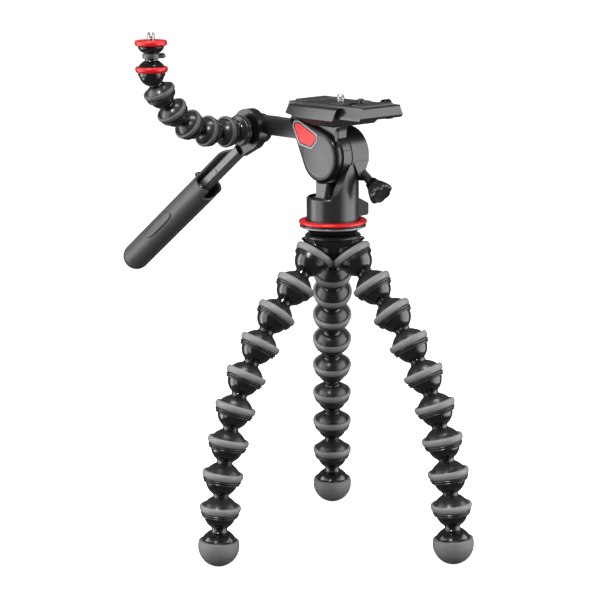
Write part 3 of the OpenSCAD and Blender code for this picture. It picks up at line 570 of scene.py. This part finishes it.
face_x = cover_low[0] / MM
back_x = cover_high[0] / MM
cover_mesh = loft(plate_rings(COVER, [
    (back_x, 0.3), (back_x - 0.25, 0.0), (face_x + 2.7, 0.0), (face_x + 2.0, 0.12), (face_x + 1.35, 0.4),
    (face_x + 0.75, 0.9), (face_x + 0.35, 1.5), (face_x + 0.1, 2.2), (face_x, 2.9), (face_x, 3.2)], 120))
cover = piece("side_cover_shell", cover_mesh, "cradle", SHELL, 40)
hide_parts("side_cover")
FIELD_R = 15.7
turned("side_cover_field",
       [(0, 0.1), (FIELD_R - 1.9, 0.1), (FIELD_R - 1.5, 0.02), (FIELD_R - 1.2, 0.1), (FIELD_R - 0.5, 0.08),
        (FIELD_R - 0.15, -0.1), (FIELD_R, -0.5), (0, -0.5)],
       along(Vector((face_x * MM, tilt.y, tilt.z)), (-1, 0, 0)), "cradle", FIELD, steps=96)
# The raised rim round the badge is light grey metal; its light grey is also a painted highlight, the bright line
# round the badge's edge.
frame_mesh = loft(plate_rings(KITE, [
    (face_x + 0.4, -1.75), (face_x - 0.2, -1.75), (face_x - 0.42, -1.55), (face_x - 0.48, -1.2),
    (face_x - 0.48, -0.8), (face_x - 0.42, -0.45), (face_x - 0.2, -0.25), (face_x + 0.4, -0.25)], 96),
    caps=False)
piece("badge_frame_and_highlight", frame_mesh, "cradle", GREY, 35)
badge_mesh = loft(plate_rings(KITE, [
    (face_x + 0.6, 0.45), (face_x - 0.1, 0.45), (face_x - 0.35, 0.6), (face_x - 0.46, 0.9),
    (face_x - 0.5, 1.4)], 96))
badge = piece("cover_badge_inlay", badge_mesh, "cradle", BADGE, 35)
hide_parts("cover_badge")

# ---- tilt lock screw ----

lock = joints["tilt_lock_turn"]
on_lock = along(Vector(lock["pos_m"]), Vector(lock["axis"]).normalized(), Vector((1, 0, 0)))
START, THREAD_TOP, NECK_TOP = 16.75, 32.4, 36.0  # places along the axis that the lock screw turns about
STEM_STEPS = 40
stem = [circle(2.6, START, STEM_STEPS), circle(3.0, START + 0.4, STEM_STEPS)]
stem += thread_rows(2.62, 3.18, 1.25, START + 0.5, THREAD_TOP, STEM_STEPS)
stem += [circle(r, z, STEM_STEPS) for r, z in
         [(4.3, THREAD_TOP - 0.2), (4.6, THREAD_TOP), (4.75, THREAD_TOP + 1.2), (5.5, NECK_TOP),
          (5.0, NECK_TOP + 0.4)]]
piece("tilt_lock_stem", placed(loft(stem), on_lock), "tilt_lock_knob", PIN, 40)


def fluted_ring(r, z, depth, lobes=7, n=140):
    """Ring of a knob head with soft lobes and narrow flutes."""
    ring = []
    for i in range(n):
        a = 2 * math.pi * i / n
        dip = abs(math.cos(lobes * a / 2)) ** 5
        lobe_r = r - depth * dip
        ring.append((lobe_r * math.cos(a), lobe_r * math.sin(a), z))
    return ring


head = [fluted_ring(r, NECK_TOP + z, depth) for r, z, depth in
        [(3.9, -3.8, 0), (4.4, -3.6, 0), (4.6, -2.0, 0), (4.8, -0.4, 0.05), (5.3, 0.4, 0.2), (6.4, 1.6, 0.5),
         (7.3, 2.9, 0.9), (8.1, 4.6, 1.1), (8.8, 6.4, 1.3), (9.2, 8.4, 1.4), (9.2, 9.3, 1.4), (8.9, 9.9, 1.3),
         (8.2, 10.4, 1.0), (7.2, 10.6, 0.5), (6.0, 10.55, 0.1), (5.4, 10.2, 0), (2.6, 10.0, 0)]]
knob = piece("tilt_lock_head", placed(loft(head), on_lock), "tilt_lock_knob", LIP, 50)
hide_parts("tilt_lock_knob")

# ---- seat, lever and camera plate ----

softened("plate_seat", SATIN, 0.45)
softened("plate_lever", DEEP, 0.6, 3)
plate = softened("camera_plate", SATIN, 0.45)
# The camera plate's upward faces get the black hub plastic as painted shade, so its top is painted darker than its
# sides.
FACES_UP = 0.9
refinish(plate, HUB_PLASTIC_AND_SHADE, lambda face: face.normal.z > FACES_UP)
softened("plate_pads", LIP, 0.2)


def foot_of(node):
    """Middle of the lower end of a CAD node's box, in metres."""
    low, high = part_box(node)
    return Vector(((low[0] + high[0]) / 2, (low[1] + high[1]) / 2, low[2]))


STUD_CORE, STUD_CREST, STUD_PITCH = 2.4, 2.95, 1.27  # inside the CAD's plain shank


def stud(name, node, thread_low, body, foot):
    """Threaded stud of a screw on its own axis, from its foot, with a bevelled end."""
    x, y, _ = foot_of(node) / MM
    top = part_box(node)[1][2] / MM
    rings = [circle(STUD_CORE, foot, STUD_STEPS), circle(STUD_CORE, thread_low - 0.1, STUD_STEPS)]
    rings += thread_rows(STUD_CORE, STUD_CREST, STUD_PITCH, thread_low, top - 0.7)
    rings += [circle(STUD_CORE - cut, top - drop, STUD_STEPS)
              for cut, drop in ((0, 0.65), (0.6, 0.02), (1.4, 0.02))]
    rings = [[(px + x, py + y, pz) for px, py, pz in ring] for ring in rings]
    return piece(name, loft(rings), body, STEEL, 40)


plate_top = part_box("camera_plate")[1][2] / MM
screw_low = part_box("camera_screw")[0][2] / MM
screw = stud("camera_screw_stud", "camera_screw", plate_top - 0.6, "camera_screw", screw_low + 2.6)
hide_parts("camera_screw")
turned("camera_screw_head",
       [(0, 0.05), (2.4, 0.05), (2.5, 0.9), (4.6, 0.9), (4.7, 0.05), (7.0, 0.05), (7.5, 0.5), (7.5, 2.0),
        (7.1, 2.4), (0, 2.4)],
       Matrix.Translation(foot_of("camera_screw")), "camera_screw", STEEL)
pin_low, pin_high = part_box("video_pin")
tall = (pin_high[2] - pin_low[2]) / MM
turned("video_pin_peg",
       [(0, 0.02), (2.7, 0.02), (2.98, 0.25), (2.98, 0.85), (2.75, 0.98), (2.2, 1.0), (2.2, tall - 1.0),
        (2.05, tall - 0.55), (1.6, tall - 0.12), (1.2, tall - 0.02), (0, tall - 0.02)],
       Matrix.Translation(foot_of("video_pin")), "video_pin", PIN, "video_pin", 40)

# ---- handle ----

softened("handle_bracket", SATIN, 0.7, 3)
HUB_R = 24
bar = softened("handle_bar", BAR, 0.5, 3)
pivot = Vector(joints["handle_angle"]["pos_m"])
refinish(bar, HUB_PLASTIC_AND_SHADE,
         lambda face: math.hypot(face.center.y - pivot.y, face.center.z - pivot.z) < HUB_R * MM)
softened("fold_pin", STEEL, 0.3)
BAR_X, BAR_OFFSET, DROP = -10.8, 8.6, math.radians(36.5)
on_handle = (Matrix.Translation((0, pivot.y, pivot.z)) @ Matrix.Rotation(-DROP, 4, "X")
             @ Matrix.Translation((BAR_X * MM, 0, -BAR_OFFSET * MM)))

# the grip lies along Y of its own place; angles round it start at its top
GRIP_R, GRIP_END = 10.9, 194.5
TONGUE, MOUTH, SLOT_END = 31.0, 66.0, 75
TONGUE_HALF, SLOT_FROM = 50, 147  # degrees
COLUMN = 5  # degrees from one column of points to the next


def grip_point(s, a):
    """Point of the tube at a distance along it, its mouth slanted and its tongue cut askew."""
    phi = math.radians(a)
    near = min(1.0, max(0.0, (92 - s) / 22))
    tip = min(1.0, max(0.0, (52 - s) / 20))
    y = s + 3 * math.cos(phi) * near - 5 * (a / TONGUE_HALF) * tip
    return Vector((GRIP_R * math.sin(phi), y, GRIP_R * math.cos(phi))) * MM


def cap_point(rise, a):
    """Point of the round end, so many degrees up from its rim."""
    phi = math.radians(a)
    r = GRIP_R * math.cos(math.radians(rise))
    y = GRIP_END - GRIP_R + GRIP_R * math.sin(math.radians(rise))
    return Vector((r * math.sin(phi), y, r * math.cos(phi))) * MM


def grip_shell():
    """Tubular grip with a slanted mouth, a tongue over the bar and a slot for the bar to swing through."""
    columns = [-180 + COLUMN * i for i in range(360 // COLUMN)]
    rows = [TONGUE, 34, 38, 44, 50, 56, 61, MOUTH, 69, 72, SLOT_END, 80, 86, 92, 110, 130, 150, 170,
            GRIP_END - GRIP_R]
    bm = bmesh.new()
    grid = [[bm.verts.new(grip_point(s, a)) for a in columns] for s in rows]
    grid += [[bm.verts.new(cap_point(rise, a)) for a in columns] for rise in range(8, 88, 8)]
    end = bm.verts.new(Vector((0, GRIP_END, 0)) * MM)
    for i, (ring, following) in enumerate(zip(grid, grid[1:])):
        s = rows[i] if i < len(rows) else GRIP_END
        for k, a in enumerate(columns):
            n = (k + 1) % len(columns)
            middle = abs(a + COLUMN / 2)
            beside_tongue = s < MOUTH and middle > TONGUE_HALF
            in_slot = s < SLOT_END and middle > SLOT_FROM
            if not (beside_tongue or in_slot):
                bm.faces.new((ring[k], following[k], following[n], ring[n]))
    for k in range(len(columns)):
        bm.faces.new((grid[-1][k], end, grid[-1][(k + 1) % len(columns)]))
    loose = [v for v in bm.verts if not v.link_faces]
    bmesh.ops.delete(bm, geom=loose, context="VERTS")
    return placed(mesh_from(bm, "grip"), on_handle)


grip = piece("handle_grip_shell", grip_shell(), "handle_grip", GRIP, 0)
wall = grip.modifiers.new("wall", "SOLIDIFY")
wall.thickness = 2.1 * MM
wall.offset = -1
edges = grip.modifiers.new("edges", "BEVEL")
edges.width = 0.55 * MM
edges.segments = 3
edges.limit_method = "ANGLE"
edges.angle_limit = math.radians(40)
flats = grip.modifiers.new("flats", "WEIGHTED_NORMAL")
flats.weight = 60
applied(grip)
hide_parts("handle_grip")


PAD_AT, PAD_ANGLE = 129, math.radians(-88)
PAD_HALF_LENGTH, PAD_HALF_WIDTH = 19, 3.7


def thumb_pad():
    """Raised field on the outer side of the grip, round at its lower end."""
    outline = []
    for i in range(64):
        a = 2 * math.pi * i / 64
        u, v = math.cos(a), math.sin(a)
        power = 0.38 if u < 0 else 0.75
        outline.append((PAD_HALF_LENGTH * math.copysign(abs(u) ** power, u),
                        PAD_HALF_WIDTH * math.copysign(abs(v) ** 0.55, v)))
    rings = []
    for lift, draw in ((-0.3, -0.1), (0.5, 0.0), (0.85, 0.25), (0.9, 0.6), (0.35, 0.95), (0.25, 1.3),
                       (0.3, 2.2)):
        shrink_u, shrink_w = 1 - draw / PAD_HALF_LENGTH, 1 - draw / PAD_HALF_WIDTH
        r = GRIP_R + lift
        ring = []
        for u, w in outline:
            phi = PAD_ANGLE + w * shrink_w / GRIP_R
            ring.append((r * math.sin(phi), PAD_AT + u * shrink_u, r * math.cos(phi)))
        rings.append(ring)
    return loft(rings)


piece("handle_grip_pad", placed(thumb_pad(), on_handle), "handle_grip", GRIP, 50)
softened("fold_button", DEEP, 0.3)

# ---- arm ----

swivel = Vector(joints["arm_swivel"]["pos_m"])
arm = [Vector(joints[f"arm_ball_{k}"]["pos_m"]) for k in range(1, 7)]
washer_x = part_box("handle_bar")[0][0]
RIB_INNER = 10.8
ribs = []
for i in range(3):
    r = 12.15 - 0.4 * (2 - i)
    z = 0.1 + 1.1 * i
    ribs += [(RIB_INNER, z), (r - 0.3, z), (r, z + 0.2), (r, z + 0.55), (r - 0.3, z + 0.75),
             (RIB_INNER, z + 0.75)]
flange_z = 3.35
rim = ARM * 15 - 0.05
flange = [(RIB_INNER, flange_z), (rim - 0.4, flange_z), (rim, flange_z + 0.4), (rim, flange_z + 1.2),
          (rim - 0.35, flange_z + 1.6), (rim - 1.0, flange_z + 1.8), (8.9, flange_z + 2.2),
          (7.5, flange_z + 2.8)]
ball_z = (washer_x - arm[0].x) / MM
first_ball = arc(0, ball_z, BALL_R * ARM, -40, 10.7, 12) + [(0.0, ball_z + BALL_FLAT * ARM)]
bolt = [(3.9, -8.5), (4.0, -8.0), (4.0, -0.2), (4.0, 0.1)]
turned("arm_base_turned", bolt + ribs + flange + first_ball,
       along(Vector((washer_x, swivel.y, swivel.z)), (-1, 0, 0)), "arm_base", GLOSS,
       "arm_base", 72, second=(ARM_BELL, 3, 29))

ARM_RING = 4.3  # height of a ring's middle above the ball in its socket, before the arm's scale
for k, (lower, upper) in enumerate(zip(arm, arm[1:]), 1):
    node = f"arm_link_{k}"
    span = (upper - lower).length / MM / ARM
    m = along(upper, upper - lower)
    turned(f"{node}_body", scaled(link_outline(span), ARM), m, node, GLOSS, node,
           second=(ARM_BELL, *ARM_BELL_ROWS))
    turned(f"{node}_lip", scaled(lip_outline(-span), ARM), m, node, LIP)
    turned(f"{node}_ring", scaled(ring_outline(ARM_RING - span), ARM), m, node, ARM_RUBBER)

tip = arm[-1]
at_tip = Matrix.Translation(tip)
bowl = [(0, 19.58), (2.9, 19.58), (9.0, 19.58), (9.38, 19.3), (9.36, 18.9), (8.9, 17.6), (7.9, 16.4),
        (6.6, 15.3), (5.3, 14.8), (4.6, 14.6)]
waist = [(4.58, 10.0), (4.9, 9.3), (5.5, 9.05)]
turned("arm_head_body", bowl + waist + scaled(socket_outline(0), ARM), at_tip, "arm_head", GLOSS,
       "arm_head")
turned("arm_head_band", scaled(ring_outline(3.6), ARM), at_tip, "arm_head", RED, "arm_head_ring")
DISC_INNER, DISC_EDGE, DISC_ROUND = 2.85, 10.25, 1.33
turned("arm_disc_band",
       [(DISC_INNER, 19.92)] + arc(DISC_EDGE, 21.25, DISC_ROUND, -90, 0, 6)
       + arc(DISC_EDGE, 22.55, DISC_ROUND, 0, 90, 6) + [(DISC_INNER, 23.88), (DISC_INNER, 19.92)],
       at_tip, "arm_disc", RED, "arm_disc", 72)
softened("arm_lock_ring", LOCK, 0.4, 3)


def rounded_box(x, half_y, half_z, n=32):
    """Ring of a lever: a rectangle with full corners, across X."""
    angles = [2 * math.pi * i / n for i in range(n)]
    return [(x, half_y * math.copysign(abs(math.cos(a)) ** 0.5, math.cos(a)),
             half_z * math.copysign(abs(math.sin(a)) ** 0.5, math.sin(a))) for a in angles]


lever = [rounded_box(*row) for row in
         ((4.9, 1.6, 1.3), (5.2, 2.0, 1.6), (7.2, 2.1, 1.6), (8.8, 2.0, 1.55), (9.7, 1.6, 1.3),
          (10.2, 0.9, 0.8))]
ring_low, ring_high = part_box("arm_lock_ring")
LEVER_TURN = math.radians(-42)
on_lever = (Matrix.Translation((tip.x, tip.y, (ring_low[2] + ring_high[2]) / 2))
            @ Matrix.Rotation(LEVER_TURN, 4, "Z"))
piece("arm_lock_lever", placed(loft(lever), on_lever), "arm_lock_ring", LOCK, 50)
disc_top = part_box("arm_disc")[1][2] / MM
post = stud("arm_screw_stud", "arm_screw", disc_top + 0.25, "arm_head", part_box("arm_screw")[0][2] / MM + 0.05)
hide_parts("arm_screw")

# ---- floor, light and camera ----

scene = bpy.context.scene
HEADING = math.radians(42)
PITCH = math.radians(12.2939)
ROLL = math.radians(-0.553)
CAMERA_AT = Vector((-0.94163, -1.00907, 0.488))
SENSOR = 36  # millimetres
FOCAL = 1919.089 / 600  # focal length as a share of the frame's width
look = Vector((math.cos(PITCH) * math.sin(HEADING), math.cos(PITCH) * math.cos(HEADING), -math.sin(PITCH)))
level_right = Vector((math.cos(HEADING), -math.sin(HEADING), 0))
level_up = level_right.cross(look)
right = level_right * math.cos(ROLL) + level_up * math.sin(ROLL)
up = level_up * math.cos(ROLL) - level_right * math.sin(ROLL)
lens = bpy.data.cameras.new("camera")
lens.sensor_width = SENSOR
lens.lens = SENSOR * FOCAL
lens.clip_end = 20
camera = bpy.data.objects.new("camera", lens)
scene.collection.objects.link(camera)
camera.matrix_world = Matrix.Translation(CAMERA_AT) @ Matrix((right, up, -look)).transposed().to_4x4()
scene.camera = camera

FLOOR_HALF = 9
bm = bmesh.new()
bmesh.ops.create_grid(bm, x_segments=2, y_segments=2, size=FLOOR_HALF)
floor_mesh = bpy.data.meshes.new("floor")
bm.to_mesh(floor_mesh)
bm.free()
floor = bpy.data.objects.new("floor", floor_mesh)
scene.collection.objects.link(floor)
paper = Finish("white_paper", (0.9, 0.9, 0.9), 0.95, Emission_Strength=0.92)
paper.put("Emission Color", (1.0, 1.0, 1.0))
floor_mesh.materials.append(paper.mat)
floor.visible_glossy = False
floor.visible_diffuse = False

# the room lights the object dimly, and is plain white where it is seen
world = bpy.data.worlds.new("studio")
scene.world = world
world.use_nodes = True
tree = world.node_tree
room = tree.nodes["Background"]
plug(tree, room.inputs["Color"], (1.0, 1.0, 1.0))
plug(tree, room.inputs["Strength"], 0.16)
seen = add_node(tree, "ShaderNodeLightPath", out="Is Camera Ray")
white = add_node(tree, "ShaderNodeBackground", {}, {"Color": (1.0, 1.0, 1.0)})
choice = add_node(tree, "ShaderNodeMixShader", {}, {0: seen, 1: Socket(tree, room.outputs[0]), 2: white})
plug(tree, tree.nodes["World Output"].inputs["Surface"], choice)
scene.view_settings.view_transform = "Standard"

CENTRE = Vector((0, 0, 0.19))


def lamp(name, to_left, to_camera, rise, width, height, watts):
    """Soft light at a place seen from the camera, in metres from the object's middle, turned to it."""
    light = bpy.data.lights.new(name, "AREA")
    light.shape = "RECTANGLE"
    light.size = width
    light.size_y = height
    light.energy = watts
    o = bpy.data.objects.new(name, light)
    scene.collection.objects.link(o)
    o.location = CENTRE - level_right * to_left - look * to_camera + Vector((0, 0, rise))
    o.rotation_euler = (CENTRE - o.location).to_track_quat("-Z", "Y").to_euler()


lamp("left_wall", 1.25, -0.05, 0.1, 0.6, 1.5, 15)
lamp("right_wall", -1.22, 0.12, 0.1, 1.3, 1.5, 23)
lamp("left_fill", 1.1, 0.62, 0.1, 0.6, 1.5, 8)
lamp("right_fill", -0.95, 0.85, 0.1, 0.5, 1.5, 3.5)
lamp("top_soft", 0, 0.1, 1.3, 0.6, 0.25, 9)
lamp("front_spot", 0.7, 1.6, 1.2, 0.25, 0.25, 40)
